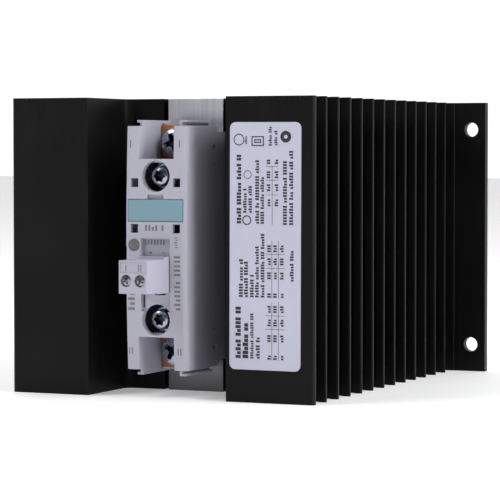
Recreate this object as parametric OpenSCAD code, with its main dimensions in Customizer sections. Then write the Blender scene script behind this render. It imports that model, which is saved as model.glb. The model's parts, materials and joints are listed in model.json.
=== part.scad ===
// Solid state relay on a finned heat sink, for mounting on a panel.
// The origin is the centre of the four panel holes, on the back face of the heat sink.
// +X is to the right, +Y is towards the panel and +Z is up. The relay faces -Y.
// Lengths are in millimetres. Depths named *_y are counted back from the front of the heat sink.

/* [Heat sink] */
// Height of the extrusion
sink_h = 100; // [90:1:140]
// Width over the fins
sink_w = 111; // [104:1:120]
// Depth from the front blocks to the panel
sink_depth = 140.5; // [140:0.5:150]
// Width over the drilled ears
ear_span = 135; // [132:1:144]
// Thickness of the ears
ear_t = 3; // [2:0.5:4]
// Number of fins on each side
fin_count = 12; // [10:1:12]
// Distance from one fin to the next
fin_pitch = 10.577; // [10.4:0.001:10.58]
// Thickness of a fin
fin_t = 1.6; // [1.2:0.1:2.4]
// Left wall of the front recess
recess_left = -26.5; // [-28:0.1:-25]
// Right wall of the front recess
recess_right = 24.4; // [24:0.1:25.5]
// Depth of the front recess
recess_y = 29; // [28.5:0.1:30]

/* [Panel holes] */
// Distance between the holes across the ears
hole_dx = 124; // [122:1:126]
// Distance between the holes along the ears
hole_dz = 80; // [70:1:84]
// Diameter of the panel holes
hole_d = 5.3; // [4.5:0.1:6]

/* [Relay housing] */
// Width of the relay
relay_w = 22.5; // [22.5:0.1:23]
// Height of the cover
cover_h = 80.8; // [80:0.1:82]
// Height of the base frame
base_h = 77.2; // [76:0.1:78]
// How far the middle of the cover stands in front of the heat sink
cover_proud = 2.7; // [2.5:0.1:3]
// How much the cover's front falls back at its ends
cover_bow = 1.2; // [1:0.1:1.4]
// Distance between the two mounting screws
screw_dz = 47.6; // [47.4:0.1:47.8]
// Distance between the two terminal screws
terminal_dz = 70; // [69.8:0.1:70.2]

/* [Control plug] */
// Distance between the two control poles
pole_pitch = 5; // [5:0.02:5.08]

/* [Hidden] */
$fn = 64;
fine = 240;              // facets of a full turn of the cover's bow
cut = 1;                 // overshoot of a cutting tool
gap = 0.3;               // room between neighbours that move past each other

// Heat sink
plate_t = 3.5;           // back plate between the ears
lip_w = 2.8;             // bead along the tip of a fin
lip = 1.4;               // how far the bead stands forward
tip_t = 1;               // thickness at the very edge of a tip
edge_r = 0.45;           // rounding of a fin's edge
block_t = 2.2;           // front plate of a block
block_r = 1.3;           // outer corner of a block
wall_t = 2.8;            // side wall of the recess
slab_t = 11;             // slab behind the recess
floor_r = 3;             // fillet between the recess floor and its walls
trunk_front = 26;        // width of the central trunk at the slab
trunk_back = 16;         // and at the back plate
pad_half = 10.3;         // half width of the milled seat for the relay
groove_w = 1.8;          // groove on each side of the milled seat
groove_deep = 5;
seat_y = recess_y - 0.3; // front of the milled seat, with the thermal pad on it
thread_d = 4.1;          // tapped holes for the mounting screws
thread_deep = 9;
seat_t = 1;              // the seat's overlap with the slab
first_deep_fin = 4;      // fins before this one belong to the blocks

// Relay stack, counted back from the front of the heat sink
wall = 1.5;              // cover wall
skin_y = -0.9;           // inner side of the cover's front
cover_back = 22;         // joint between the cover and the base frame
pad_t = 0.3;             // thermal pad
pad_sheet_half = 8.8;
plate_front = 25.4;      // front of the metal base plate
plate_half = 9;          // half width of the metal base plate
plate_half_z = 29;
ceramic_t = 1;
ceramic_half = 8.3;
ceramic_half_z = 17;
metal_t = 0.3;           // metal tracks on the ceramic
track_half = 7.7;
track_z0 = 1;
track_z1 = 15.5;
die_t = 0.4;
die_w = 6.5;
die_x0 = -6.3;
die_z0 = 5.3;
gel_front = 21.6;
gel_half = 8.5;
gel_half_z = 18;
ceramic_y = plate_front - ceramic_t;
track_y = ceramic_y - metal_t;
die_y = track_y - die_t;
stack_back = seat_y - pad_t;
side_r = 1.6;            // front corner of the cover
board_y = 8;             // driver board
board_t = 1.2;
board_half_h = 18.6;

// Mounting screws
screw_z = screw_dz / 2;
bore_d = 10.3;           // access hole in the cover's front
lip_d = 12.3;            // thicker ring around the access hole
lip_y = 0.3;
boss_y = 5.2;            // boss that carries the screw head
boss_d = 8.8;
shank_hole_d = 4.4;
screw_d = 4;
screw_end = 37.6;
head_d = 6.4;
head_y0 = 0.2;
head_y1 = 3.2;
spring_d = 6.8;          // spring washer under the head
spring_y = 4.4;
washer_flat_d = 8.4;

// Terminals
terminal_z = terminal_dz / 2;
chamber_half = 6.5;      // half width of a terminal chamber
chamber_z = 29.5;        // inner end of a terminal chamber
bar_y = 15.2;            // front face of a terminal
bar_t = 1.5;
bar_z0 = 29.8;
bar_end = 40.9;
bar_half = 6.2;
leg_x0 = 4.7;            // strip that carries the current down to the ceramic
leg_x1 = 8.8;
leg_t = 1.2;
leg_z = 13.5;
leg_top = 30.5;
foot_x0 = 3.2;
foot_x1 = 7.4;
foot_z = 9;
m5_d = 5;
m5_hole = 5.1;
washer_d = 10.3;
washer_t = 1.2;
seat_gap = 0.05;         // between a screw, its washer and the terminal
pan_d = 9.2;
pan_t = 3.6;
nut_w = 8;
nut_t = 4;

// Guide rails on the ends of the cover
rail_y0 = 1.5;
rail_top = 42.4;
rail_t = 0.8;
rail_web = 1;
rail_root = 0.6;         // how far a rail reaches into the cover
rail_right = [7, 9.3];   // inner face of the web and end of the flange
rail_left = [6.5, 8.6];

// Front details
label_w = 20;
label_h = 7.1;
label_z = 12.5;
label_y = -2.5;
label_t = 1.1;
leg_in = 6.2;            // the label plate's two snap legs
leg_out = 7.8;
leg_half_z = 1.4;
leg_end = 0.6;
pocket_gap = 0.2;
pry_half = 3;            // notch above the label plate
pry_h = 1.4;
window_x = 7.7;          // four square windows
window_zs = [21.65, 6.5];
window_w = 2.7;
window_h = 2.9;
led_x = -7.8;
led_z = 1;
guide_d = 4.1;
lamp_dx = 0.2;           // the lamp sits this far to the right of the lens
slot_half = 5.35;        // connector recess
slot_top = 3.2;
slot_bottom = -21;
slot_y = -1;

// Control plug
plug_half = 5;
plug_top = -3.4;
plug_bottom = -14.2;
plug_front = -19.2;
plug_back = slot_y - gap;
rib_top = 0.7;           // ribs around the back of the plug
rib_top_y = -6;
rib_bottom = 0.4;
rib_bottom_y = -11;
pole_x = pole_pitch / 2;
pole_z = -10;            // axis of the plug screws
pin_z = -8.8;            // axis of the header pins
pin_w = 1;
nose_half = 4;
nose_top = -4.3;
nose_bottom = -13.3;
nose_end = 5;
header_half = 4.7;
header_top = -3.5;
header_bottom = -14.1;
head_hole_d = 4;
plug_head_d = 3.5;
plug_head_y0 = -18.7;
plug_head_y1 = -17.3;
ledge_y0 = -17;
ledge_y1 = -16.2;
shank_d = 2.5;
shank_end = -11.6;
cage_y0 = -13.6;         // clamp cage, shown open
cage_y1 = -7.1;
cage_top_t = 1.5;
cage_floor_t = 1;
cage_half_x = 1.7;
cage_half_z = 2.8;
cage_wall = 0.4;
room_half_x = 2;         // room in the plug for a cage
room_z0 = -13.2;
room_z1 = -6.9;
room_end = -6.5;
clamp_y = -11.2;         // bar that the wire is clamped against
clamp_t = 0.8;
clamp_half = 0.85;
wire_half = 1.4;
wire_y0 = -10.5;
wire_y1 = -7.7;
socket_half = 1.3;       // socket of each pole
socket_end = 4.6;
socket_wall = 0.8;
pin_room = 0.85;
strip_top = -5.6;        // top of the clamping bars and sockets
fit = 0.05;              // room around a part pressed into the plug

// Rating label
rating_w = 25.2;
rating_h = 80.7;
rating_x = 38.5;
rating_z = 1.15;
rating_t = 0.15;
rating_r = 2;
rating_tilt = 0.2;

// ---------- helpers ----------

// Moves a child from depths counted at the front of the heat sink to the panel face
module from_front() {
    translate([0, -sink_depth, 0]) children();
}

// Box given by its lowest and highest corners
module box(low, high) {
    translate(low) cube(high - low);
}

// Round bar along Y from y0 to y1
module rod(y0, y1, x, z, d) {
    translate([x, y0, z]) rotate([-90, 0, 0]) cylinder(h = y1 - y0, d = d);
}

// The child and its mirror image across the middle of the height
module both_ends() {
    children();
    mirror([0, 0, 1]) children();
}

// The child and its mirror image across the middle of the width
module both_sides() {
    children();
    mirror([1, 0, 0]) children();
}

// Rounded rectangle in the XY plane, centred
module rounded(w, h, r) {
    square([w - 2 * r, h], center = true);
    square([w, h - 2 * r], center = true);
    for (x = [-1, 1], y = [-1, 1])
        translate([x * (w / 2 - r), y * (h / 2 - r)]) circle(r);
}

// Prism along X over a list of [y, z] points
module along_x(x0, x1, points) {
    translate([x0, 0, 0]) rotate([90, 0, 90]) linear_extrude(x1 - x0) polygon(points);
}

// ---------- heat sink ----------

// One fin to the right, seen from above, with its bead standing forward at the tip
module fin_outline(root_x, y) {
    tip_x = sink_w / 2;
    back = y + lip + fin_t;
    polygon([
        [root_x, y + lip], [tip_x - lip_w, y + lip], [tip_x - lip_w, y], [tip_x - edge_r, y],
        [tip_x, y + edge_r], [tip_x, y + tip_t], [tip_x - back + y + tip_t, back], [root_x, back]
    ]);
    translate([tip_x - edge_r, y + edge_r]) circle(edge_r);
}

// Block beside the recess: front plate, recess wall and the fins that it carries
module block_outline(inner_x) {
    tip_x = sink_w / 2;
    translate([inner_x, 0]) square([tip_x - inner_x - block_r, block_t]);
    translate([inner_x, block_r]) square([tip_x - inner_x, block_t - block_r]);
    translate([tip_x - block_r, block_r]) circle(block_r);
    translate([inner_x, 0]) square([wall_t, recess_y + slab_t]);
    for (i = [1 : first_deep_fin - 1]) fin_outline(inner_x + wall_t / 2, i * fin_pitch);
}

// Root of a fin on the trunk, which narrows towards the back
function trunk_half(y) = let(
    run = (y - recess_y - slab_t) / (sink_depth - recess_y - slab_t)
) (trunk_front + (trunk_back - trunk_front) * max(0, run)) / 2;

module sink_outline() {
    back_y = sink_depth - plate_t;
    slab_back = recess_y + slab_t;
    difference() {
        union() {
            block_outline(recess_right);
            mirror([1, 0]) block_outline(-recess_left);
            translate([recess_left, recess_y]) square([recess_right - recess_left, slab_t]);
            polygon([
                [-trunk_front / 2, slab_back - 1], [trunk_front / 2, slab_back - 1],
                [trunk_back / 2, back_y + 1], [-trunk_back / 2, back_y + 1]
            ]);
            for (side = [0, 1], i = [first_deep_fin : fin_count])
                mirror([side, 0]) fin_outline(trunk_half(i * fin_pitch) - 2, i * fin_pitch);
            translate([-sink_w / 2, back_y]) square([sink_w, plate_t]);
            translate([-ear_span / 2, sink_depth - ear_t]) square([ear_span, ear_t]);
            translate([-pad_half, seat_y]) square([2 * pad_half, seat_t]);
            recess_fillet(recess_right, 1);
            recess_fillet(recess_left, -1);
        }
        for (side = [-1, 1])
            translate([side * (pad_half + groove_w / 2) - groove_w / 2, seat_y - cut])
                square([groove_w, groove_deep + cut]);
    }
}

// Fillet in a rear corner of the recess; side is +1 on the right and -1 on the left
module recess_fillet(x, side) {
    difference() {
        translate([side > 0 ? x - floor_r : x, recess_y - floor_r]) square(floor_r);
        translate([x - side * floor_r, recess_y - floor_r]) circle(floor_r);
    }
}

module heat_sink() {
    color([0.09, 0.09, 0.1]) from_front() difference() {
        translate([0, 0, -sink_h / 2]) linear_extrude(sink_h) sink_outline();
        for (x = [-1, 1], z = [-1, 1])
            rod(sink_depth - ear_t - cut, sink_depth + cut, x * hole_dx / 2, z * hole_dz / 2, hole_d);
        for (z = [-1, 1])
            rod(seat_y - cut, seat_y + thread_deep, 0, z * screw_z, thread_d);
    }
}

module rating_label() {
    color([0.80, 0.80, 0.84]) from_front()
        translate([rating_x, 0, rating_z]) rotate([90, rating_tilt, 0])
            linear_extrude(rating_t) rounded(rating_w, rating_h, rating_r);
}

// ---------- power part ----------

module thermal_pad() {
    color([0.75, 0.78, 0.80]) from_front() difference() {
        box([-pad_sheet_half, stack_back, -plate_half_z], [pad_sheet_half, seat_y, plate_half_z]);
        both_ends() rod(stack_back - cut, seat_y + cut, 0, screw_z, shank_hole_d);
    }
}

module base_plate() {
    color([0.72, 0.70, 0.66]) from_front() difference() {
        box([-plate_half, plate_front, -plate_half_z], [plate_half, stack_back, plate_half_z]);
        both_ends() rod(plate_front - cut, stack_back + cut, 0, screw_z, shank_hole_d);
    }
}

module substrate() {
    color("white") from_front()
        box([-ceramic_half, ceramic_y, -ceramic_half_z], [ceramic_half, plate_front, ceramic_half_z]);
}

// Two metal tracks, one for each terminal
module substrate_pads() {
    color([0.80, 0.50, 0.30]) from_front() both_ends()
        box([-track_half, track_y, track_z0], [track_half, ceramic_y, track_z1]);
}

module thyristor_chips() {
    color([0.30, 0.32, 0.36]) from_front() both_ends()
        box([die_x0, die_y, die_z0], [die_x0 + die_w, track_y, die_z0 + die_w]);
}

// Strap from the top of a die to the other side's track; dir is +1 or -1
module bond_clip(x0, x1, dir) {
    strap = 0.5;             // thickness of the strap
    bend = 0.4;              // how far its outer bends lie beyond the inner ones
    die_end = 11;            // foot on the die
    die_heel = 7;
    track_heel = -2.2;       // foot on the other track
    track_end = -4.4;
    slope = 0.6;
    top = die_y - 1;
    points = [
        [die_y, die_end], [die_y, die_heel], [top, die_heel - slope], [top, track_heel + slope],
        [track_y, track_heel], [track_y, track_end], [track_y - strap, track_end],
        [track_y - strap, track_heel - bend], [top - strap, track_heel + slope - bend],
        [top - strap, die_heel - slope + bend], [die_y - strap, die_heel + bend], [die_y - strap, die_end]
    ];
    along_x(x0, x1, [for (p = points) [p[0], dir * p[1]]]);
}

module bond_clips() {
    clip_w = 2.4;
    upper_x = -6;
    lower_x = -2.8;
    color([0.82, 0.52, 0.32]) from_front() {
        bond_clip(upper_x, upper_x + clip_w, 1);
        bond_clip(lower_x, lower_x + clip_w, -1);
    }
}

// Pins from the gates of the dice to the driver board
module gate_leads() {
    lead_d = 0.6;
    upper = [-1.5, 8.5];
    lower = [-5, -8.5];
    color([0.85, 0.85, 0.82]) from_front()
        for (p = [upper, lower]) rod(board_y + board_t, die_y, p[0], p[1], lead_d);
}

module potting_gel() {
    color([0.85, 0.88, 0.80, 0.5]) difference() {
        from_front()
            box([-gel_half, gel_front, -gel_half_z], [gel_half, plate_front, gel_half_z]);
        substrate();
        substrate_pads();
        thyristor_chips();
        bond_clips();
        gate_leads();
        line_terminal();
        load_terminal();
    }
}

// Current bar: screw plate, strip beside the screw sleeve, leg and foot
module terminal_bar() {
    difference() {
        union() {
            box([-bar_half, bar_y, bar_z0], [bar_half, bar_y + bar_t, bar_end]);
            box([leg_x0, bar_y, leg_z], [leg_x1, bar_y + bar_t, leg_top]);
            box([leg_x0, bar_y, leg_z], [leg_x1, track_y, leg_z + leg_t]);
            box([foot_x0, track_y - leg_t, foot_z], [foot_x1, track_y, leg_z + leg_t]);
        }
        rod(bar_y - cut, bar_y + bar_t + cut, 0, terminal_z, m5_hole);
    }
}

module line_terminal() {
    color([0.72, 0.42, 0.27]) from_front() terminal_bar();
}

module load_terminal() {
    color([0.72, 0.42, 0.27]) from_front() mirror([0, 0, 1]) terminal_bar();
}

module terminal_nuts() {
    y0 = bar_y + bar_t;
    color([0.70, 0.71, 0.73]) from_front() both_ends() difference() {
        box([-nut_w / 2, y0, terminal_z - nut_w / 2], [nut_w / 2, y0 + nut_t, terminal_z + nut_w / 2]);
        rod(y0 - cut, y0 + nut_t + cut, 0, terminal_z, m5_hole);
    }
}

// Washer that stays on the terminal screw
module terminal_washer(z) {
    difference() {
        rod(bar_y - seat_gap - washer_t, bar_y - seat_gap, 0, z, washer_d);
        rod(bar_y - washer_t - cut, bar_y + cut, 0, z, m5_hole);
    }
}

// Pan head with a slot and a cross recess, and a plain shank in the nut
module terminal_screw(z) {
    crown = 1.2;
    crown_in = 1.2;          // how much the crown narrows
    recess_deep = 2;
    recess_turn = 20;
    arm_w = 1.3;
    arm_l = 5.4;
    shank_short = 0.4;
    y1 = bar_y - washer_t - 2 * seat_gap;
    y0 = y1 - pan_t;
    difference() {
        union() {
            rod(y0 + crown, y1, 0, z, pan_d);
            translate([0, y0, z]) rotate([-90, 0, 0])
                cylinder(h = crown, d1 = pan_d - 2 * crown_in, d2 = pan_d);
            rod(y1, bar_y + bar_t + nut_t - shank_short, 0, z, m5_d);
        }
        for (turn = [0, 90])
            translate([0, y0 + recess_deep / 2 - cut / 2, z]) rotate([0, turn + recess_turn, 0])
                cube([arm_l, recess_deep + cut, arm_w], center = true);
    }
}

module line_washer() {
    color([0.70, 0.72, 0.76]) from_front() terminal_washer(terminal_z);
}

module line_screw() {
    color([0.66, 0.69, 0.76]) from_front() terminal_screw(terminal_z);
}

module load_washer() {
    color([0.70, 0.72, 0.76]) from_front() terminal_washer(-terminal_z);
}

module load_screw() {
    color([0.66, 0.69, 0.76]) from_front() terminal_screw(-terminal_z);
}

// ---------- housing ----------

// Frame around the base plate, with a pedestal under each terminal
module base_frame() {
    half = relay_w / 2;
    nut_gap = 0.1;           // clearance around a nut
    nut_room = nut_w / 2 + nut_gap;
    block_half = chamber_half - nut_gap;
    lip_front = 16.1;        // lip at the end of a pedestal
    lip_back = 21.4;
    lip_end = 41.5;
    y1 = bar_y + bar_t;
    color([0.72, 0.72, 0.76]) from_front() difference() {
        union() {
            box([-half, cover_back, -base_h / 2], [half, stack_back, base_h / 2]);
            both_ends() {
                box([-block_half, y1, bar_z0], [block_half, cover_back + cut, bar_end]);
                box([-block_half, lip_front, bar_end], [block_half, lip_back, lip_end]);
            }
        }
        box([-plate_half, cover_back - cut, -plate_half_z], [plate_half, stack_back + cut, plate_half_z]);
        both_ends()
            box([-nut_room, y1 - cut, terminal_z - nut_room],
                [nut_room, y1 + nut_t + 2 * nut_gap, terminal_z + nut_room]);
    }
}

// Outside of the cover: a slice of a wide ring, so that the rounded front corners follow the bow
module cover_body() {
    half = relay_w / 2;
    ring_extra = 2;
    slice = 8;
    radius = (pow(cover_h / 2, 2) + pow(cover_bow, 2)) / (2 * cover_bow);
    inner = radius - cover_back - cover_proud - ring_extra;
    intersection() {
        translate([0, radius - cover_proud, 0]) rotate([0, 90, 0]) rotate([0, 0, -90 - slice / 2])
            rotate_extrude(angle = slice, $fn = fine) {
                translate([inner, -half]) square([radius - inner - side_r, relay_w]);
                translate([inner, side_r - half]) square([radius - inner, relay_w - 2 * side_r]);
                for (side = [-1, 1])
                    translate([radius - side_r, side * (half - side_r)]) circle(side_r);
            }
        box([-half, -cover_proud - cut, -cover_h / 2], [half, cover_back, cover_h / 2]);
    }
}

// Guide rail on the upper end; span runs from the web's inner face to the end of the flange
module guide_rail(span) {
    box([span[0], rail_y0, cover_h / 2 - rail_root], [span[0] + rail_web, cover_back, rail_top]);
    box([span[0], rail_y0, rail_top - rail_t], [span[1], cover_back, rail_top]);
}

module square_window(x, z) {
    box([x - window_w / 2, -cover_proud - cut, z - window_h / 2],
        [x + window_w / 2, skin_y + cut, z + window_h / 2]);
}

// Room inside the cover, around the screw tubes
module cover_room() {
    in_half = relay_w / 2 - wall;
    in_half_z = 28.3;
    floor_t = 1.3;           // floor of the connector recess
    border = 1;              // material left around a recess or pocket
    rib_half = 2.5;          // rib from a boss to the end of the room
    difference() {
        box([-in_half, skin_y, -in_half_z], [in_half, cover_back + cut, in_half_z]);
        both_ends() {
            rod(-cover_proud, lip_y, 0, screw_z, lip_d);
            rod(boss_y, plate_front, 0, screw_z, boss_d);
            box([-rib_half, boss_y, screw_z], [rib_half, cover_back + 2 * cut, in_half_z + cut]);
        }
        box([-slot_half - border, skin_y - cut, slot_bottom],
            [slot_half + border, slot_y + floor_t, slot_top + border]);
        box([-label_w / 2 - border, skin_y - cut, label_z - label_h / 2 - border],
            [label_w / 2 + border, skin_y + wall / 2, label_z + label_h / 2 + pry_h + border]);
    }
}

module cover() {
    half = relay_w / 2;
    front = -cover_proud - cut;
    pocket_w = label_w / 2 + pocket_gap;
    pocket_h = label_h / 2 + pocket_gap;
    leg_room = 0.4;          // clearance around a snap leg
    strip_room = 0.2;        // clearance around a terminal's strip
    strip_z0 = 28;
    strip_z1 = 30.8;
    arm_x0 = 7.9;            // hollow arms beside a terminal chamber
    arm_y0 = 0.5;
    arm_z0 = 31;
    arm_z1 = 38.9;
    latch_deep = 0.9;        // latch windows in both sides
    latch_y = [17.6, 21.2];
    latch_z = [[33.2, 34.2], [27.4, 27.9]];
    header_gap = 0.1;
    notch_x = [-1, 3];       // notch below the plug, for a screwdriver that levers it off
    notch_h = 1.3;
    slit_w = 0.85;           // slit along the recess's left wall, below the plug
    slit_z = [-19.7, -14.8];
    behind = 1;              // how deep the openings into the room are cut
    color([0.74, 0.74, 0.78]) from_front() difference() {
        union() {
            cover_body();
            both_ends() {
                guide_rail(rail_right);
                mirror([1, 0, 0]) guide_rail(rail_left);
                rod(cover_back - cut, plate_front, 0, screw_z, boss_d);
            }
        }
        cover_room();
        both_ends() {
            // terminal chamber, open to the front, the end and the back
            box([-chamber_half, front, chamber_z], [chamber_half, cover_back + cut, rail_top + cut]);
            box([leg_x0 - strip_room, bar_y - strip_room / 2, strip_z0],
                [leg_x1 + 2 * strip_room, cover_back + cut, strip_z1]);
            both_sides() box([arm_x0, arm_y0, arm_z0], [half - wall, cover_back + cut, arm_z1]);
            // access hole and shank hole
            rod(front, lip_y + cut, 0, screw_z, bore_d);
            rod(front, plate_front + cut, 0, screw_z, shank_hole_d);
            for (z = latch_z)
                both_sides() box([half - latch_deep, latch_y[0], z[0]], [half + cut, latch_y[1], z[1]]);
        }
        for (x = [-1, 1], z = window_zs) square_window(x * window_x, z);
        // label pocket, its two leg slots and the pry notch above it
        box([-pocket_w, front, label_z - pocket_h],
            [pocket_w, label_y + label_t + seat_gap, label_z + pocket_h]);
        both_sides()
            box([leg_in - leg_room, front, label_z - leg_half_z - leg_room],
                [leg_out + leg_room, behind, label_z + leg_half_z + leg_room]);
        box([-pry_half, front, label_z + pocket_h - pocket_gap],
            [pry_half, label_y + label_t, label_z + pocket_h + pry_h]);
        rod(front, 0, led_x, led_z, guide_d + 2 * seat_gap);
        // connector recess and the opening behind it
        box([-slot_half, front, slot_bottom], [slot_half, slot_y, slot_top]);
        box([-header_half - header_gap, front, header_bottom - header_gap],
            [header_half + header_gap, behind, header_top + header_gap]);
        box([notch_x[0], front, plug_bottom - notch_h], [notch_x[1], behind, header_bottom]);
        box([-slot_half, front, slit_z[0]], [slit_w - slot_half, behind, slit_z[1]]);
    }
}

// Screws that hold the relay on the heat sink, with a six-lobed recess
module mounting_screws() {
    lobes_d = 4;
    lobe_w = 1.1;
    core_d = 3;
    recess_deep = 1.8;
    color([0.70, 0.71, 0.73]) from_front() both_ends() difference() {
        union() {
            rod(head_y0, head_y1, 0, screw_z, head_d);
            rod(head_y1, spring_y, 0, screw_z, spring_d);
            rod(spring_y, boss_y, 0, screw_z, washer_flat_d);
            rod(boss_y, screw_end, 0, screw_z, screw_d);
        }
        rod(head_y0 - cut, head_y0 + recess_deep, 0, screw_z, core_d);
        for (turn = [0, 60, 120])
            translate([0, head_y0 + recess_deep / 2 - cut / 2, screw_z]) rotate([0, turn, 0])
                cube([lobes_d, recess_deep + cut, lobe_w], center = true);
    }
}

module label_plate() {
    color([0.45, 0.62, 0.68]) from_front() {
        box([-label_w / 2, label_y, label_z - label_h / 2],
            [label_w / 2, label_y + label_t, label_z + label_h / 2]);
        both_sides()
            box([leg_in, label_y + label_t / 2, label_z - leg_half_z],
                [leg_out, leg_end, label_z + leg_half_z]);
    }
}

module light_guide() {
    lens_y = [-2.65, -0.1];
    rod_y = [-0.2, 3.2];     // narrower rod that leads from the lens to the lamp
    rod_d = 2;
    color([0.45, 0.46, 0.48]) from_front() {
        rod(lens_y[0], lens_y[1], led_x, led_z, guide_d);
        rod(rod_y[0], rod_y[1], led_x + lamp_dx, led_z, rod_d);
    }
}

// ---------- control side ----------

module driver_board() {
    half = 9.3;
    hole_d = 1.6;            // tooling holes
    holes = [[-8, 14], [8, -16.6]];
    y1 = board_y + board_t;
    color([0.13, 0.36, 0.22]) from_front() difference() {
        box([-half, board_y, -board_half_h], [half, y1, board_half_h]);
        for (p = holes) rod(board_y - cut, y1 + cut, p[0], p[1], hole_d);
    }
}

module optocoupler() {
    body_half = 3.2;
    body_y = [4.6, 7.2];
    body_z = [9, 16.5];
    pin_zs = [10.2, 12.7, 15.2];
    pin_x = 3.6;
    pin_half = 0.5;
    pin_t = 0.3;
    pin_y = 5.6;
    color([0.12, 0.12, 0.13]) from_front() {
        box([-body_half, body_y[0], body_z[0]], [body_half, body_y[1], body_z[1]]);
        for (x = [-pin_x, pin_x], z = pin_zs)
            box([x - pin_half, pin_y, z - pin_t], [x + pin_half, board_y, z + pin_t]);
    }
}

module resistors() {
    body_d = 2;
    body_l = 5;
    x0 = 2.5;
    zs = [-4.5, -1.5, 1.5, 4.5];
    color([0.25, 0.45, 0.65]) from_front()
        for (z = zs) translate([x0, board_y + board_t + body_d / 2, z])
            rotate([0, 90, 0]) cylinder(h = body_l, d = body_d);
}

module capacitor() {
    can_d = 5;
    can_end = 15;
    place = [-5, 1.5];
    color([0.15, 0.17, 0.25]) from_front()
        rod(board_y + board_t, can_end, place[0], place[1], can_d);
}

module status_led() {
    dome_y = 3.4;
    collar_y = 5;
    dome_d = 2.4;
    collar_d = 2.9;
    color([0.75, 0.80, 0.75]) from_front() {
        rod(dome_y, collar_y, led_x + lamp_dx, led_z, dome_d);
        rod(collar_y, board_y, led_x + lamp_dx, led_z, collar_d);
    }
}

// Socket behind the cover that takes the nose of the plug
module header_housing() {
    front = 0.4;
    room_x = gap + nose_half;
    room_end_y = nose_end + 2 * gap;
    color([0.30, 0.31, 0.33]) from_front() difference() {
        box([-header_half, front, header_bottom], [header_half, board_y, header_top]);
        box([-room_x, -cut, nose_bottom - gap], [room_x, room_end_y, nose_top + gap]);
        for (x = [-1, 1])
            box([x * pole_x - pin_w / 2, 0, pin_z - pin_w / 2],
                [x * pole_x + pin_w / 2, board_y + cut, pin_z + pin_w / 2]);
    }
}

module header_pins() {
    tip_y = 0.6;
    color([0.85, 0.80, 0.55]) from_front()
        for (x = [-1, 1])
            box([x * pole_x - pin_w / 2, tip_y, pin_z - pin_w / 2],
                [x * pole_x + pin_w / 2, board_y, pin_z + pin_w / 2]);
}

// Plug body with a room for each cage, the screw holes, the wire entries and the nose
module plug_housing() {
    field_deep = 0.3;        // flat field above the screws
    field_rim = 0.4;
    field_z = [-7.4, -3.9];
    bar_room_z = [-13.7, -6];
    strip_room = [-6.65, -5.3];
    strip_end = -3;
    socket_front = -4.2;
    socket_bottom = -10.4;
    color([0.74, 0.74, 0.79]) from_front() difference() {
        union() {
            box([-plug_half, plug_front, plug_bottom], [plug_half, plug_back, plug_top]);
            box([-plug_half, rib_top_y, plug_top - cut], [plug_half, plug_back, plug_top + rib_top]);
            box([-plug_half, rib_bottom_y, plug_bottom - rib_bottom],
                [plug_half, plug_back, plug_bottom + cut]);
            box([-nose_half, plug_back - cut, nose_bottom], [nose_half, nose_end, nose_top]);
        }
        box([-plug_half + field_rim, plug_front - cut, field_z[0]],
            [plug_half + cut, plug_front + field_deep, field_z[1]]);
        for (x = [-pole_x, pole_x]) {
            bar_room = clamp_half + fit;
            rod(plug_front - cut, ledge_y0, x, pole_z, head_hole_d);
            rod(ledge_y0 - cut, ledge_y1 + cut, x, pole_z, shank_d + 2 * fit);
            box([x - room_half_x, ledge_y1, room_z0], [x + room_half_x, room_end, room_z1]);
            box([x - bar_room, clamp_y - fit, bar_room_z[0]],
                [x + bar_room, clamp_y + clamp_t + fit, bar_room_z[1]]);
            box([x - bar_room, clamp_y - fit, strip_room[0]], [x + bar_room, strip_end, strip_room[1]]);
            box([x - socket_half - fit, socket_front, socket_bottom],
                [x + socket_half + fit, nose_end + cut, strip_room[1]]);
            box([x - wire_half, wire_y0, plug_bottom - cut], [x + wire_half, wire_y1, room_z0 + cut]);
        }
    }
}

// Clamping bar, leg and socket of each pole
module plug_contacts() {
    bar_bottom = -13.6;
    strip_bottom = -6.4;
    strip_end = -3.4;
    socket_front = -4;
    slit_z = -7.2;           // the socket's spring slit
    wall_y = socket_front + socket_wall;
    color([0.80, 0.76, 0.62]) from_front() for (x = [-pole_x, pole_x]) {
        box([x - clamp_half, clamp_y, bar_bottom], [x + clamp_half, clamp_y + clamp_t, strip_top]);
        box([x - clamp_half, clamp_y, strip_bottom], [x + clamp_half, strip_end, strip_top]);
        difference() {
            box([x - socket_half, socket_front, pin_z - socket_half],
                [x + socket_half, socket_end, strip_top]);
            box([x - pin_room, wall_y, pin_z - pin_room],
                [x + pin_room, socket_end + cut, pin_z + pin_room]);
            box([x - socket_half - cut, wall_y, slit_z],
                [x + socket_half + cut, socket_end + cut, strip_top + cut]);
        }
    }
}

// Head with a cross recess and a shank that ends in the cage
module plug_screw(x) {
    recess_deep = 1;
    recess_turn = 25;
    arm_l = 2.4;
    arm_w = 0.6;
    color([0.55, 0.57, 0.60]) from_front() difference() {
        union() {
            rod(plug_head_y0, plug_head_y1, x, pole_z, plug_head_d);
            rod(plug_head_y1, shank_end, x, pole_z, shank_d);
        }
        for (turn = [0, 90])
            translate([x, plug_head_y0 + recess_deep / 2 - cut / 2, pole_z])
                rotate([0, turn + recess_turn, 0])
                    cube([arm_l, recess_deep + cut, arm_w], center = true);
    }
}

module plug_screw_left() {
    plug_screw(-pole_x);
}

module plug_screw_right() {
    plug_screw(pole_x);
}

// Cage that rises towards the screw head and clamps the wire
module clamp_cage(x) {
    inner = cage_half_x - cage_wall;
    color([0.78, 0.78, 0.74]) from_front() difference() {
        box([x - cage_half_x, cage_y0, pole_z - cage_half_z],
            [x + cage_half_x, cage_y1, pole_z + cage_half_z]);
        box([x - inner, cage_y0 + cage_top_t, pole_z - cage_half_z - cut],
            [x + inner, cage_y1 - cage_floor_t, pole_z + cage_half_z + cut]);
        rod(cage_y0 - cut, cage_y0 + cage_top_t + cut, x, pole_z, shank_d + 2 * fit);
    }
}

module clamp_cage_left() {
    clamp_cage(-pole_x);
}

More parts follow.
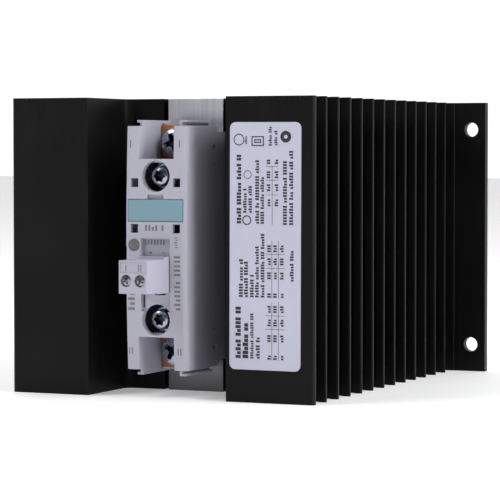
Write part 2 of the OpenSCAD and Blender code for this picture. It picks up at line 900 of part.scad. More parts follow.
module clamp_cage_right() {
    clamp_cage(pole_x);
}

heat_sink();
thermal_pad();
base_plate();
base_frame();
cover();
mounting_screws();
substrate();
substrate_pads();
thyristor_chips();
bond_clips();
gate_leads();
potting_gel();
line_terminal();
load_terminal();
terminal_nuts();
line_washer();
line_screw();
load_washer();
load_screw();
driver_board();
optocoupler();
resistors();
capacitor();
status_led();
light_guide();
header_housing();
header_pins();
label_plate();
plug_housing();
plug_contacts();
plug_screw_left();
plug_screw_right();
clamp_cage_left();
clamp_cage_right();
rating_label();
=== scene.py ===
import json
import math
import random

import bmesh
import bpy
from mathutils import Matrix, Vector

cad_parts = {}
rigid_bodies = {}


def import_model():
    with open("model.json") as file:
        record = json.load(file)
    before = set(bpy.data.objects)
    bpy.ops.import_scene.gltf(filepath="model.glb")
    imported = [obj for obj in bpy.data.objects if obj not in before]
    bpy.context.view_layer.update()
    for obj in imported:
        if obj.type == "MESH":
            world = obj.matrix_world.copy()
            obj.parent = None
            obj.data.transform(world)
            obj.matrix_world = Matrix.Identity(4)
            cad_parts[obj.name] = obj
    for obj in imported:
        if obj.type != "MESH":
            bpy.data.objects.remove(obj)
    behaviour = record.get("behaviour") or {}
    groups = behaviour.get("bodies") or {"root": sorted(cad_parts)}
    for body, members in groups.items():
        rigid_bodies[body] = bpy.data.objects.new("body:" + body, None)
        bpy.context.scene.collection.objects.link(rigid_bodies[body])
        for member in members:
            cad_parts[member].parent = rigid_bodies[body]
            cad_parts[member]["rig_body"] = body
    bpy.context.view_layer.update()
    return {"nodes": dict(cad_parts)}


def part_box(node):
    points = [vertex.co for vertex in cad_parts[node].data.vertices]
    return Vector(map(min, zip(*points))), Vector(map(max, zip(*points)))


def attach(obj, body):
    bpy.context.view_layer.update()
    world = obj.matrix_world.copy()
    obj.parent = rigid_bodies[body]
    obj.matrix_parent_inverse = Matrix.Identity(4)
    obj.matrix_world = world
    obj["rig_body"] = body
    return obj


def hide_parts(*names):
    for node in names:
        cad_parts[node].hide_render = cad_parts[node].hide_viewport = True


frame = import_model()
nodes = frame["nodes"]

MM = 0.001
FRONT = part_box("heat_sink")[0].y  # row Y of the heat sink's front; depths below count back from it, in mm
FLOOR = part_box("heat_sink")[0].z
CRISP = math.radians(35)  # edges that turn by more than this aren't smoothed
NOISE_LOW, NOISE_HIGH = 0.35, 0.65  # most of a noise's values lie between these


def at(x, y, z):
    """Row-frame point of a place given in mm, with y counted back from the heat sink's front."""
    return Vector((x * MM, FRONT + y * MM, z * MM))


# ---------- materials ----------


class Finish:
    """A Principled material, with its nodes added call by call."""

    def __init__(self, name, metallic=0.0, specular=0.5, stretch=(1, 1, 1), **fixed):
        self.material = bpy.data.materials.new(name)
        self.material.use_nodes = True
        self.tree = self.material.node_tree
        self.shader = self.tree.nodes["Principled BSDF"]
        self.shader.inputs["Metallic"].default_value = metallic
        self.shader.inputs["Specular IOR Level"].default_value = specular
        for socket, value in fixed.items():
            self.shader.inputs[socket.replace("_", " ")].default_value = value
        self.plain_place = self.add("TexCoord").outputs["Object"]
        self.place = self.add("Mapping", Vector=self.plain_place, Scale=stretch).outputs[0]

    def add(self, kind, settings=None, **inputs):
        """A new node. An input is named by its socket, or by _ and its number, and is a value or a link."""
        made = self.tree.nodes.new("ShaderNode" + kind)
        for key, value in (settings or {}).items():
            setattr(made, key, value)
        for key, value in inputs.items():
            socket = made.inputs[int(key[1:]) if key[0] == "_" else key.replace("_", " ")]
            if isinstance(value, bpy.types.NodeSocket):
                self.tree.links.new(value, socket)
            else:
                socket.default_value = value
        return made

    def math(self, operation, a, b=0.0):
        return self.add("Math", {"operation": operation}, _0=a, _1=b).outputs[0]

    def times(self, *factors):
        product = factors[0]
        for factor in factors[1:]:
            product = self.math("MULTIPLY", product, factor)
        return product

    def blend(self, a, b, share):
        """share of a and the rest of b, both from 0 to 1."""
        return self.math("ADD", self.times(a, share), self.times(b, 1 - share))

    def noise(self, scale, detail, plain=False):
        """Noise from 0 to 1 with this many features per metre."""
        place = self.plain_place if plain else self.place
        return self.add("TexNoise", Vector=place, Scale=scale, Detail=detail, Roughness=0.55).outputs[0]

    def span(self, value, low, high, to_low=0.0, to_high=1.0):
        """value from low..high to to_low..to_high, held inside that range."""
        made = self.add("MapRange", Value=value, From_Min=low, From_Max=high, To_Min=to_low, To_Max=to_high)
        return made.outputs[0]

    def mix(self, share, a, b):
        made = self.add("Mix", {"data_type": "RGBA"}, _0=share, _6=a, _7=b)
        return made.outputs[2]

    def put(self, socket, value):
        self.tree.links.new(value, self.shader.inputs[socket])

    def axes(self):
        """The place on the object, along X, Y and Z, in metres."""
        return self.add("SeparateXYZ", Vector=self.plain_place).outputs[:3]

    def edges(self, radius):
        """The rounded normal, and how close the surface is to a sharp edge, from 0 to 1."""
        flat_dot, edge_dot = 0.995, 0.8
        rounded = self.add("Bevel", {"samples": 6}, Radius=radius).outputs[0]
        flat = self.add("NewGeometry").outputs["True Normal"]
        dot = self.add("VectorMath", {"operation": "DOT_PRODUCT"}, _0=rounded, _1=flat).outputs["Value"]
        return rounded, self.span(dot, flat_dot, edge_dot)

    def gloss(self, low, high):
        """Roughness from low to high by the clouds and the grain."""
        return self.span(self.math("ADD", self.clouds, self.fine), 2 * NOISE_LOW, 2 * NOISE_HIGH, low, high)


def rgba(colour, gain=1.0):
    return (*[min(1.0, c * gain) for c in colour], 1.0)


DUST = rgba((0.32, 0.31, 0.30))


def surface(name, colour, roughness, tone=0.08, tone_scale=45.0, grain_scale=2500.0, grain=0.02,
            spread=0.08, edge=0.2, wear=None, wear_and_highlight_share=0.5, dust=0.0, **kept):
    """One finish: cloudy tone, fine grain in the bump and gloss, softened edges, and edges lightened to
    another colour, partly as wear and partly as a painted edge highlight. Scales are in features per metre;
    edge is a radius and grain a height, in mm."""
    f = Finish(name, **kept)
    clouds = f.clouds = f.noise(tone_scale, 4.0, plain=True)
    fine = f.fine = f.noise(grain_scale, 2.0)
    shade = f.span(f.blend(clouds, fine, 0.7), 0.3, 0.7)
    paint = f.mix(shade, rgba(colour, 1 - tone), rgba(colour, 1 + tone))
    rounded, near = f.edges(edge * MM)
    if wear:
        # edges lightened: partly wear, partly a painted highlight along the edges
        worn_and_highlit_edge = f.times(near, wear_and_highlight_share, f.span(clouds, NOISE_LOW, NOISE_HIGH, 0.35, 1.0))
        paint = f.mix(worn_and_highlit_edge, paint, rgba(wear))
    if dust:
        facing_up = f.add("SeparateXYZ", Vector=f.add("NewGeometry").outputs["Normal"]).outputs["Z"]
        settled = f.times(f.span(facing_up, 0.6, 1.0), f.span(clouds, 0.3, 0.7, 0.4 * dust, dust))
        paint = f.mix(settled, paint, DUST)
    f.paint = paint
    f.put("Base Color", paint)
    f.put("Roughness", f.gloss(roughness - spread, roughness + spread))
    bump = f.add("Bump", Strength=1.0, Distance=grain * MM, Height=fine, Normal=rounded)
    f.put("Normal", bump.outputs[0])
    return f


def black_anodised():
    """Satin black extrusion with draw lines up its height, and the relay's seat milled bare in the recess,
    with painted shade darkening the seat towards its lower end."""
    seat_depth, seat_half_width, seat_half_height = 28.7, 10.45, 45
    seat_dark, seat_bright = rgba((0.50, 0.50, 0.55)), rgba((0.86, 0.86, 0.92))
    seat_painted_shade = rgba((0.16, 0.16, 0.17))
    f = surface("black_anodised", (0.0050, 0.0050, 0.0052), 0.42, tone=0.35, grain_scale=1500, grain=0.004,
                edge=0.35, spread=0.06, wear=(0.035, 0.035, 0.037), wear_and_highlight_share=0.6, specular=0.14,
                stretch=(1, 1, 0.008))
    x, y, z = f.axes()
    off_seat = f.math("ABSOLUTE", f.math("SUBTRACT", y, FRONT + seat_depth * MM))
    on_seat = f.times(f.math("LESS_THAN", f.math("ABSOLUTE", x), seat_half_width * MM),
                      f.math("LESS_THAN", off_seat, 0.2 * MM))
    strokes = f.span(f.noise(4200, 6.0), 0.25, 0.75)
    sheen = f.mix(f.blend(strokes, f.clouds, 0.6), seat_dark, seat_bright)
    # painted shade: the seat's colour is darkened from its upper end towards its lower end
    height = f.span(z, -seat_half_height * MM, seat_half_height * MM)
    f.put("Base Color", f.mix(on_seat, f.paint, f.mix(height, seat_painted_shade, sheen)))
    f.put("Metallic", on_seat)
    off = f.math("SUBTRACT", 1.0, on_seat)
    f.put("Roughness", f.math("ADD", f.times(f.gloss(0.38, 0.50), off),
                              f.times(f.span(strokes, 0, 1, 0.28, 0.48), on_seat)))
    return f.material


def zinc_steel():
    """Bright zinc plate, with painted shade darkening the bottom of the recesses in the mounting and
    terminal screws' heads.
    """
    f = surface("zinc_steel", (0.37, 0.41, 0.50), 0.25, metallic=1.0, tone=0.07, tone_scale=320,
                grain_scale=1800, grain=0.003, edge=0.08, wear=(0.75, 0.78, 0.82))
    x, y, z = f.axes()
    recess_painted_shade = 0.0
    # height of the screw above or below the middle, radius of the recess, and the depths the painted shade
    # lies between
    for centre, radius, top, bottom in ((23.8, 2.3, 0.8, 3.1), (35.0, 3.7, 11.2, 13.6)):
        up = f.math("SUBTRACT", f.math("ABSOLUTE", z), centre * MM)
        across = f.add("CombineXYZ", X=x, Y=up).outputs[0]
        away = f.add("VectorMath", {"operation": "LENGTH"}, _0=across).outputs["Value"]
        below_top = f.span(y, FRONT + top * MM, FRONT + (top + 0.5) * MM)
        above_bottom = f.math("LESS_THAN", y, FRONT + bottom * MM)
        inside = f.times(f.math("LESS_THAN", away, radius * MM), f.times(below_top, above_bottom))
        recess_painted_shade = f.math("MAXIMUM", recess_painted_shade, inside)
    # painted shade: the recess floors are coloured near black
    f.put("Base Color", f.mix(recess_painted_shade, f.paint, rgba((0.035, 0.040, 0.042))))
    return f.material


def plain(name, colour, roughness, **kept):
    return surface(name, colour, roughness, **kept).material


FINISHES = {name: plain(name, colour, roughness, **kept) for name, colour, roughness, kept in (
    ("thermal_foil", (0.50, 0.52, 0.54), 0.45, dict(metallic=1.0, tone=0.1)),
    ("nickel_plate", (0.62, 0.60, 0.56), 0.3, dict(metallic=1.0, tone=0.08, grain=0.003)),
    ("grey_plastic", (0.452, 0.446, 0.520), 0.52, dict(
        tone=0.035, grain_scale=2800, grain=0.012, edge=0.28, wear=(0.60, 0.59, 0.66), dust=0.05,
        specular=0.35, Subsurface_Weight=0.04, Subsurface_Radius=(0.001, 0.001, 0.001))),
    ("plug_plastic", (0.462, 0.450, 0.545), 0.48, dict(
        tone=0.035, grain_scale=3200, grain=0.010, edge=0.22, wear=(0.62, 0.60, 0.68), dust=0.05,
        specular=0.4)),
    ("dark_steel", (0.34, 0.35, 0.37), 0.28, dict(
        metallic=1.0, tone=0.2, tone_scale=400, grain_scale=1800, grain=0.006, edge=0.1,
        wear=(0.75, 0.76, 0.78))),
    ("ceramic", (0.80, 0.79, 0.76), 0.4, dict(tone=0.04)),
    ("copper", (0.50, 0.20, 0.10), 0.38, dict(
        metallic=0.75, tone=0.25, tone_scale=260, grain=0.004, wear=(0.8, 0.42, 0.26))),
    ("silicon", (0.10, 0.11, 0.13), 0.15, dict(metallic=0.8, tone=0.1, grain=0.001)),
    ("tinned_brass", (0.66, 0.60, 0.42), 0.3, dict(metallic=1.0, tone=0.1, tone_scale=300, grain=0.003)),
    ("clear_gel", (0.80, 0.84, 0.76), 0.08, dict(tone=0.05, grain=0.001, Transmission_Weight=0.8, IOR=1.41)),
    ("circuit_board", (0.02, 0.11, 0.045), 0.35, dict(tone=0.25, tone_scale=600)),
    ("black_plastic", (0.02, 0.02, 0.021), 0.5, dict(tone=0.15)),
    ("blue_lacquer", (0.08, 0.20, 0.34), 0.3, dict(tone=0.15, tone_scale=500)),
    ("smoked_lens", (0.17, 0.17, 0.18), 0.22, dict(
        tone=0.12, grain_scale=900, grain=0.004, Transmission_Weight=0.25, IOR=1.5)),
    ("turquoise_plastic", (0.205, 0.345, 0.420), 0.45, dict(
        tone=0.06, grain_scale=2600, grain=0.008, edge=0.2, wear=(0.30, 0.45, 0.52), dust=0.04,
        specular=0.35)),
    ("label_film", (0.560, 0.565, 0.690), 0.38, dict(
        tone=0.03, tone_scale=30, grain_scale=1200, grain=0.004, edge=0.1, specular=0.4)),
)}
FINISHES["black_anodised"] = black_anodised()
FINISHES["zinc_steel"] = zinc_steel()
SLOT_OF = {
    "heat_sink": "black_anodised", "thermal_pad": "thermal_foil", "base_plate": "nickel_plate",
    "base_frame": "grey_plastic", "cover": "grey_plastic", "mounting_screws": "zinc_steel",
    "substrate": "ceramic", "substrate_pads": "copper", "thyristor_chips": "silicon", "bond_clips": "copper",
    "gate_leads": "tinned_brass", "potting_gel": "clear_gel", "line_terminal": "copper",
    "load_terminal": "copper", "terminal_nuts": "zinc_steel", "line_washer": "zinc_steel",
    "line_screw": "zinc_steel", "load_washer": "zinc_steel", "load_screw": "zinc_steel",
    "driver_board": "circuit_board", "optocoupler": "black_plastic", "resistors": "blue_lacquer",
    "capacitor": "black_plastic", "status_led": "smoked_lens", "light_guide": "smoked_lens",
    "header_housing": "black_plastic", "header_pins": "tinned_brass", "label_plate": "turquoise_plastic",
    "plug_housing": "plug_plastic", "plug_contacts": "tinned_brass", "plug_screw_left": "dark_steel",
    "plug_screw_right": "dark_steel", "clamp_cage_left": "tinned_brass", "clamp_cage_right": "tinned_brass",
    "rating_label": "label_film",
}
for name, obj in nodes.items():
    obj.data.materials.clear()
    obj.data.materials.append(FINISHES[SLOT_OF[name]])


# ---------- meshes ----------


def shade(bm):
    """Smooth faces, with every edge that turns by more than CRISP left sharp."""
    for face in bm.faces:
        face.smooth = True
    for edge in bm.edges:
        edge.smooth = len(edge.link_faces) == 2 and edge.calc_face_angle(0) < CRISP


def object_of(bm, name, material):
    bmesh.ops.recalc_face_normals(bm, faces=bm.faces)
    shade(bm)
    mesh = bpy.data.meshes.new(name)
    bm.to_mesh(mesh)
    bm.free()
    obj = bpy.data.objects.new(name, mesh)
    bpy.context.scene.collection.objects.link(obj)
    mesh.materials.append(material)
    return obj


def prism(bm, front, back):
    """Adds a closed solid between two outlines with the same number of vertices."""
    bm.faces.new(front)
    bm.faces.new(list(reversed(back)))
    for i in range(len(front)):
        j = (i + 1) % len(front)
        bm.faces.new((front[i], back[i], back[j], front[j]))


def turned(bm, profile, x, z, thread=None, segments=72):
    """Adds a solid of revolution about an axis along Y. profile lists (radius, depth) from the front to the
    back. thread = (from depth, to depth, pitch, height) winds a helical thread on that stretch."""
    rings_per_pitch = 8
    rings = list(profile)
    if thread:
        y0, y1, pitch, height = thread
        radius = next(r for r, y in profile if y >= y0 and r > 0)
        steps = int((y1 - y0) / pitch * rings_per_pitch)
        wound = [(radius, y0 + (y1 - y0) * i / steps) for i in range(steps + 1)]
        rings = [p for p in rings if p[1] < y0] + wound + [p for p in rings if p[1] > y1]
    made = []
    for radius, y in rings:
        if radius == 0:
            made.append([bm.verts.new(at(x, y, z))])
            continue
        ring = []
        for i in range(segments):
            turn = math.tau * i / segments
            r = radius
            if thread and y0 < y < y1:
                phase = ((y - y0) / pitch - i / segments) % 1
                fade = min(1, (y - y0) / pitch, (y1 - y) / pitch)
                r -= height * fade * (1 - abs(2 * phase - 1))
            ring.append(bm.verts.new(at(x + r * math.cos(turn), y, z + r * math.sin(turn))))
        made.append(ring)
    for a, b in zip(made, made[1:]):
        for i in range(segments):
            j = (i + 1) % segments
            if len(a) == 1:
                bm.faces.new((a[0], b[i], b[j]))
            elif len(b) == 1:
                bm.faces.new((a[j], a[i], b[0]))
            else:
                bm.faces.new((a[i], b[i], b[j], a[j]))


def tapered(outline, y0, y1, x, z, shrink):
    """A cutter: the outline in mm around (x, z), from depth y0 to y1, where it is shrink times as wide."""
    bm = bmesh.new()
    front = [bm.verts.new(at(x + u, y0, z + v)) for u, v in outline]
    back = [bm.verts.new(at(x + u * shrink, y1, z + v * shrink)) for u, v in outline]
    prism(bm, front, back)
    return object_of(bm, "cutter", FINISHES["zinc_steel"])


def bar_outline(length, width, turn):
    """A rectangle about the middle, turned by this many degrees."""
    c, s = math.cos(math.radians(turn)), math.sin(math.radians(turn))
    u1, v1 = length / 2, width / 2
    return [(u * c - v * s, u * s + v * c) for u, v in ((-u1, -v1), (u1, -v1), (u1, v1), (-u1, v1))]


def lobed_outline(radius, depth, count=6, points=96):
    """A circle with this many lobes, the dents between them this deep."""
    outline = []
    for i in range(points):
        turn = math.tau * i / points
        r = radius - depth * (0.5 - 0.5 * math.cos(count * turn)) ** 0.8
        outline.append((r * math.cos(turn), r * math.sin(turn)))
    return outline


def carved(obj, cutters):
    """Cuts the cutters out of obj and removes them."""
    for cutter in cutters:
        step = obj.modifiers.new("cut", "BOOLEAN")
        step.operation, step.solver, step.object = "DIFFERENCE", "EXACT", cutter
        ready = bpy.context.evaluated_depsgraph_get()
        mesh = bpy.data.meshes.new_from_object(obj.evaluated_get(ready))
        obj.modifiers.clear()
        obj.data = mesh
        bpy.data.objects.remove(cutter)
    bm = bmesh.new()
    bm.from_mesh(obj.data)
    bmesh.ops.remove_doubles(bm, verts=bm.verts, dist=0.002 * MM)
    shade(bm)
    bm.to_mesh(obj.data)
    bm.free()
    return obj


def stands_for(obj, node):
    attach(obj, nodes[node]["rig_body"])
    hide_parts(node)


def domed_head(y_front, y_back, radius, rise, steps=10):
    """Profile of a pan head: a dome this high, a rolled rim and a flat underside."""
    dome_share, chamfer = 0.86, 0.15
    dome = [(0, y_front)]
    for i in range(1, steps + 1):
        share = i / steps
        dome.append((radius * dome_share * share, y_front + rise * share ** 2.4))
    rim = [(radius * out, y_front + rise * back) for out, back in ((0.94, 1.25), (0.985, 1.7), (1, 2.2))]
    return dome + rim + [(radius, y_back - chamfer), (radius - chamfer, y_back)]


def shank(radius, y0, y1, point_radius, point_length):
    """Profile of a shank with a short point."""
    return [(radius, y0), (radius, y1 - point_length), (point_radius, y1), (0, y1)]


def terminal_screw(node, turn):
    """Pan-head screw with a slot and a cross recess, and a threaded shank in the nut."""
    head_front, head_back, end, radius, pitch, thread_height = 10.3, 13.9, 20.3, 4.6, 0.8, 0.36
    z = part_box(node)[0].z / MM + radius
    bm = bmesh.new()
    profile = domed_head(head_front, head_back, radius, 0.62) + shank(2.5, head_back, end, 2.1, 0.4)
    turned(bm, profile, 0, z, thread=(head_back + 0.3, end - 0.5, pitch, thread_height))
    screw = object_of(bm, node.replace("_screw", "_screw_turned"), FINISHES["zinc_steel"])
    slot, wing, rib = (10.5, 1.25, 1.3, 0.96), (6.8, 1.8, 2.6, 0.7), (3.9, 0.5, 1.2, 0.6)
    cutters = []
    for a, (length, width, deep, shrink) in ((0, slot), (90, wing), (0, wing), (45, rib), (135, rib)):
        outline = bar_outline(length, width, turn + a)
        cutters.append(tapered(outline, head_front - 0.4, head_front + deep, 0, z, shrink))
    stands_for(carved(screw, cutters), node)


def mounting_screws():
    """Two pan-head screws with a six-lobed recess, each with a split spring washer and a plain washer."""
    head_front, head_back, bore, plain_washer, pitch, thread_height = 0.2, 3.15, 2.05, 4.2, 0.7, 0.3
    low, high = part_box("mounting_screws")
    z, end = high.z / MM - plain_washer, (high.y - FRONT) / MM
    head = domed_head(head_front, head_back, 3.2, 0.45) + shank(2, head_back, end, 1.6, 0.4)
    spring = [(bore, 3.2), (3.2, 3.2), (3.4, 3.35), (3.4, 4.2), (3.2, 4.35), (bore, 4.35), (bore, 3.2)]
    flat = [(bore, 4.4), (4.0, 4.4), (plain_washer, 4.55), (plain_washer, 5.2), (bore, 5.2), (bore, 4.4)]
    bm = bmesh.new()
    for side in (-1, 1):
        turned(bm, head, 0, side * z, thread=(6, end - 0.5, pitch, thread_height))
        turned(bm, spring, 0, side * z)
        turned(bm, flat, 0, side * z)
    screws = object_of(bm, "mounting_screws_turned", FINISHES["zinc_steel"])
    split = [(2.4, -0.25), (4.6, -0.25), (4.6, 0.25), (2.4, 0.25)]
    cutters = []
    for side in (-1, 1):
        cutters.append(tapered(lobed_outline(2.3, 0.6), head_front - 0.8, 2.7, 0, side * z, 0.85))
        cutters.append(tapered(split, 3.17, 4.38, 0, side * z, 1))
    stands_for(carved(screws, cutters), "mounting_screws")


def plug_screw(node, turn):
    """Small clamp screw with a cross recess in a flat head."""
    head_front, head_back, end, pitch, thread_height = -18.7, -17.3, -11.6, 0.5, 0.2
    low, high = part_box(node)
    x, z = (low.x + high.x) / 2 / MM, (low.z + high.z) / 2 / MM
    bm = bmesh.new()
    profile = domed_head(head_front, head_back, 1.75, 0.16) + shank(1.25, head_back, end, 1.0, 0.2)
    turned(bm, profile, x, z, thread=(head_back + 0.9, end - 0.3, pitch, thread_height), segments=48)
    screw = object_of(bm, node + "_turned", FINISHES["dark_steel"])
    cutters = [tapered(bar_outline(2.7, 0.62, turn + a), head_front - 0.2, head_front + 1.0, x, z, 0.7)
               for a in (0, 90)]
    stands_for(carved(screw, cutters), node)


terminal_screw("line_screw", 18)
terminal_screw("load_screw", -32)
mounting_screws()
plug_screw("plug_screw_left", 20)
plug_screw("plug_screw_right", -28)


# ---------- printed marks: plain bars, rings and rules that stand for print, with no lettering ----------

INK = plain("print_ink", (0.020, 0.020, 0.026), 0.5, tone=0.3, tone_scale=700, grain_scale=5000, grain=0.003,
            edge=0.02)
GREY_INK = plain("grey_ink", (0.175, 0.168, 0.190), 0.5, tone=0.25, tone_scale=700, grain_scale=5000,
                 grain=0.003, edge=0.02)
FILM = 0.03  # how far ink stands out, in mm


def patch(bm, corners):
    """One flat mark: a polygon of (x, y, z) corners in mm, as thick as the ink."""
    back = [bm.verts.new(at(*c)) for c in corners]
    front = [bm.verts.new(at(x, y - FILM, z)) for x, y, z in corners]
    prism(bm, front, back)


def bar(bm, x0, x1, z0, z1, depth):
    """An upright rectangle; depth(z) gives the surface it is printed on."""
    patch(bm, [(x0, depth(z0), z0), (x1, depth(z0), z0), (x1, depth(z1), z1), (x0, depth(z1), z1)])


def ring(bm, x, z, radius, width, depth, points=40):
    inner = radius - width
    for i in range(points):
        a, b = math.tau * i / points, math.tau * (i + 1) / points
        corners = [(radius, a), (radius, b), (inner, b), (inner, a)]
        patch(bm, [(x + r * math.cos(t), depth(z), z + r * math.sin(t)) for r, t in corners])


def word_marks(bm, rng, along, start, end, across, height, depth, weight=0.45):
    """Greeked print on a line from start to end: plain blocks in word-long groups. along is "x" or "z"."""
    pitch, block = 0.66 * height, weight * height
    place, left = start, rng.randint(3, 8)
    forward = 1 if end > start else -1
    while (end - place) * forward > block:
        if left == 0:
            place += forward * pitch * 0.8
            left = rng.randint(2, 9)
            continue
        a, b = sorted((place, place + forward * block))
        low, high = across - 0.5 * height, across + rng.choice((0.2, 0.5, 0.5)) * height
        if along == "x":
            bar(bm, a, b, low, high, depth)
        else:
            bar(bm, 2 * across - high, 2 * across - low, a, b, depth)
        place += forward * pitch
        left -= 1


def rating_marks():
    """The sticker: columns of greeked print that run up it, three small tables, rings, a disc and two nested
    squares. Places are in mm from the sticker's upper left corner, across and then down."""
    rng = random.Random(7)
    low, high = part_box("rating_label")
    x0, z1 = low.x / MM + 0.15, high.z / MM
    line = 0.14

    def film(z):
        return -0.15

    bm = bmesh.new()

    def column(x, top, bottom, height, weight=0.45):
        word_marks(bm, rng, "z", z1 - bottom, z1 - top, x0 + x, height, film, weight)

    def rule(xa, xb, ta, tb):
        bar(bm, x0 + xa, x0 + xb, z1 - tb, z1 - ta, film)

    def table(top, bottom, xs, cells, line_xs, line_downs, height=1.25):
        for x in xs:
            for a, b in cells:
                column(x, a, b, height)
        for x in line_xs:
            rule(x - line / 2, x + line / 2, top, bottom)
        for down in line_downs:
            rule(line_xs[0] - 2.2, line_xs[-1] + 2.2, down - line / 2, down + line / 2)

    # rings and the disc: across, down, radius and width of the stroke
    for x, down, r, w in ((3.3, 5.7, 1.9, 0.3), (6.4, 17.1, 1.4, 0.22), (6.1, 31.9, 1.6, 0.4),
                          (19.9, 4.8, 1.9, 1.25)):
        ring(bm, x0 + x, z1 - down, r, w, film)
    stroke = 0.35
    for inset in (0, 1.0):
        xa, xb, ta, tb = 7.8 + inset, 12.2 - inset, 4.6 + inset, 7.8 - inset
        for side in ((xa, xa + stroke, ta, tb), (xb - stroke, xb, ta, tb),
                     (xa, xb, ta, ta + stroke), (xa, xb, tb - stroke, tb)):
            rule(*side)
    column(5.8, 4.1, 7.1, 0.8)
    # columns of small print: across, top, bottom and height of the print
    for x, top, bottom, height in (
            (14.4, 1.4, 7.7, 1.1), (16.4, 2.4, 7.6, 1.1), (5.4, 21, 29.5, 1.25), (7.3, 20, 29.5, 1.25),
            (9.8, 11.6, 33, 1.35), (11.6, 17.5, 33, 1.25), (19.6, 12.1, 33.3, 1.4), (21.8, 8.5, 33.3, 1.4),
            (4.0, 44.2, 57, 1.4), (5.8, 45, 57, 1.4), (7.9, 49, 57, 1.3), (9.7, 39, 57, 1.3),
            (11.7, 36, 57, 1.3), (7.9, 61.7, 77, 1.15), (10.0, 70, 77, 1.4), (22.0, 41.5, 51.6, 1.3)):
        column(x, top, bottom, height)
    # the three bolder ones
    column(3.3, 10.1, 33, 1.6, 0.5)
    column(3.0, 60, 77, 1.9, 0.52)
    column(5.6, 65, 77, 2.0, 0.58)
    table(14.5, 33.3, (13.8, 16.6), ((11.4, 13.6), (15.8, 18.2), (20, 22.4), (25, 27.3)),
          (15.1,), (14.4, 18.9, 23.6))
    table(38.5, 57.2, (14.0, 16.1, 18.5), ((39.6, 42.2), (43.8, 46.4), (48.6, 51), (55, 57)),
          (15.0, 17.3), (42.9, 47.5))
    table(58.3, 77.4, (14.0, 16.1, 18.5), ((59.2, 61.9), (63.8, 66.3), (69, 71.4), (75, 77.2)),
          (15.0, 17.3), (62.9, 67.3))
    marks = object_of(bm, "rating_marks", INK)
    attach(marks, "root")


def cover_marks():
    """Grey print on the relay's front: one bar beside the upper terminal and two beside the lower, greeked
    rows, plus and minus."""
    rng = random.Random(3)
    crown, sink, half_height = -2.7, 1.2, 40.4  # the front's middle, and how far its ends lie behind that

    def skin(z):
        return crown + sink / half_height ** 2 * z * z

    def recess(z):
        return -1.0

    bm = bmesh.new()
    for x in (-9.4, 8.5):
        bar(bm, x - 0.22, x + 0.22, 33.2, 35.7, skin)
        for side in (-0.5, 0.5):
            bar(bm, x + side - 0.2, x + side + 0.2, -35.3, -33.1, skin)
    # rows across the front and up its sides: start, end, place across, height and weight of the print
    for along, start, end, across, height, face, weight in (
            ("x", -3.7, 4.2, 6.7, 1.9, skin, 0.38), ("z", -20.3, -1.0, 8.0, 2.2, skin, 0.3),
            ("z", 0.2, 4.4, 7.6, 1.2, skin, 0.3), ("z", -20.6, -3.4, -8.9, 2.5, skin, 0.36),
            ("x", -4.6, 4.6, 2.0, 1.7, recess, 0.3)):
        word_marks(bm, rng, along, start, end, across, height, face, weight)
    plus_and_minus = ((-3.0, -1.8, -1.7, -1.4), (-2.55, -2.25, -2.15, -0.95), (1.7, 2.8, -1.7, -1.4))
    for stroke in plus_and_minus:
        bar(bm, *stroke, recess)
    marks = object_of(bm, "cover_marks", GREY_INK)
    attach(marks, "root")


def plug_marks():
    """One bar over the left clamp screw and two over the right one."""

    def field(z):
        return -18.9

    bm = bmesh.new()
    for x in (-2.6, 2.05, 2.85):
        bar(bm, x - 0.16, x + 0.16, -6.9, -4.7, field)
    marks = object_of(bm, "plug_marks", GREY_INK)
    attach(marks, "plug")


rating_marks()
cover_marks()
plug_marks()


# ---------- floor, light and camera ----------


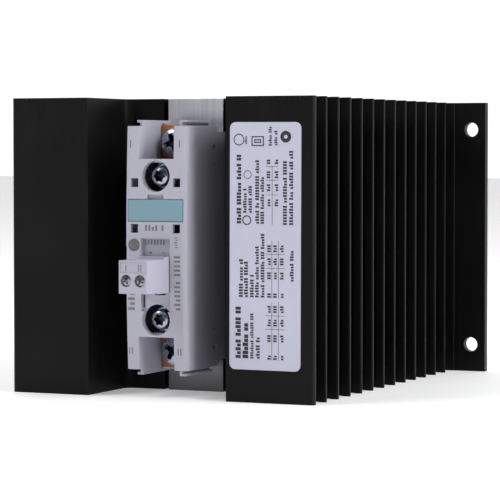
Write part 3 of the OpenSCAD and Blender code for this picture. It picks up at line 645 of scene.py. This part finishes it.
def floor():
    """A pale floor, slightly luminous so that the shadow on it stays faint."""
    bm = bmesh.new()
    bmesh.ops.create_grid(bm, x_segments=4, y_segments=4, size=6.0)
    bmesh.ops.translate(bm, verts=bm.verts, vec=(0, 0, FLOOR))
    material = plain("pale_floor", (0.88, 0.88, 0.88), 0.6, tone=0.01, tone_scale=3, grain_scale=300,
                     specular=0.2, Emission_Color=(1, 1, 1, 1), Emission_Strength=0.3)
    obj = object_of(bm, "floor", material)


def softbox(name, place, target, width, height, power):
    data = bpy.data.lights.new(name, "AREA")
    data.shape, data.size, data.size_y, data.energy = "RECTANGLE", width, height, power
    obj = bpy.data.objects.new(name, data)
    obj.location = place
    obj.rotation_euler = (Vector(target) - Vector(place)).to_track_quat("-Z", "Y").to_euler()
    bpy.context.scene.collection.objects.link(obj)


def studio():
    """A dome that is white behind and to the left of the object and dim to the right of it, and two
    softboxes."""
    bright_side, cool_white = (-0.50, 0.86, 0.0), (0.98, 0.985, 1.0, 1)
    world = bpy.data.worlds.new("studio")
    bpy.context.scene.world = world
    world.use_nodes = True
    tree = world.node_tree
    direction = tree.nodes.new("ShaderNodeTexCoord").outputs["Generated"]
    dot = tree.nodes.new("ShaderNodeVectorMath")
    dot.operation = "DOT_PRODUCT"
    tree.links.new(direction, dot.inputs[0])
    dot.inputs[1].default_value = Vector(bright_side).normalized()
    ramp = tree.nodes.new("ShaderNodeMapRange")
    ramp.interpolation_type = "SMOOTHSTEP"
    for socket, value in (("From Min", -0.2), ("From Max", 0.6), ("To Min", 0.06), ("To Max", 1.12)):
        ramp.inputs[socket].default_value = value
    tree.links.new(dot.outputs["Value"], ramp.inputs["Value"])
    tree.links.new(ramp.outputs[0], tree.nodes["Background"].inputs["Strength"])
    tree.nodes["Background"].inputs["Color"].default_value = cool_white
    middle = (0, FRONT / 2, 0)
    softbox("key", (1.397, -0.20, 0.80), middle, 1.0, 1.5, 25)
    softbox("fill", (-0.93, -1.00, 1.10), middle, 0.8, 0.8, 13)


def camera():
    data = bpy.data.cameras.new("camera")
    data.sensor_width, data.lens = 36, 174.33
    data.clip_start, data.clip_end = 0.05, 50
    obj = bpy.data.objects.new("camera", data)
    obj.location = (0.35343, -0.86022, 0.03227)
    obj.rotation_euler = (math.radians(87.648), 0, math.radians(23.993))
    bpy.context.scene.collection.objects.link(obj)
    bpy.context.scene.camera = obj


floor()
studio()
camera()
bpy.context.scene.view_settings.view_transform = "Standard"
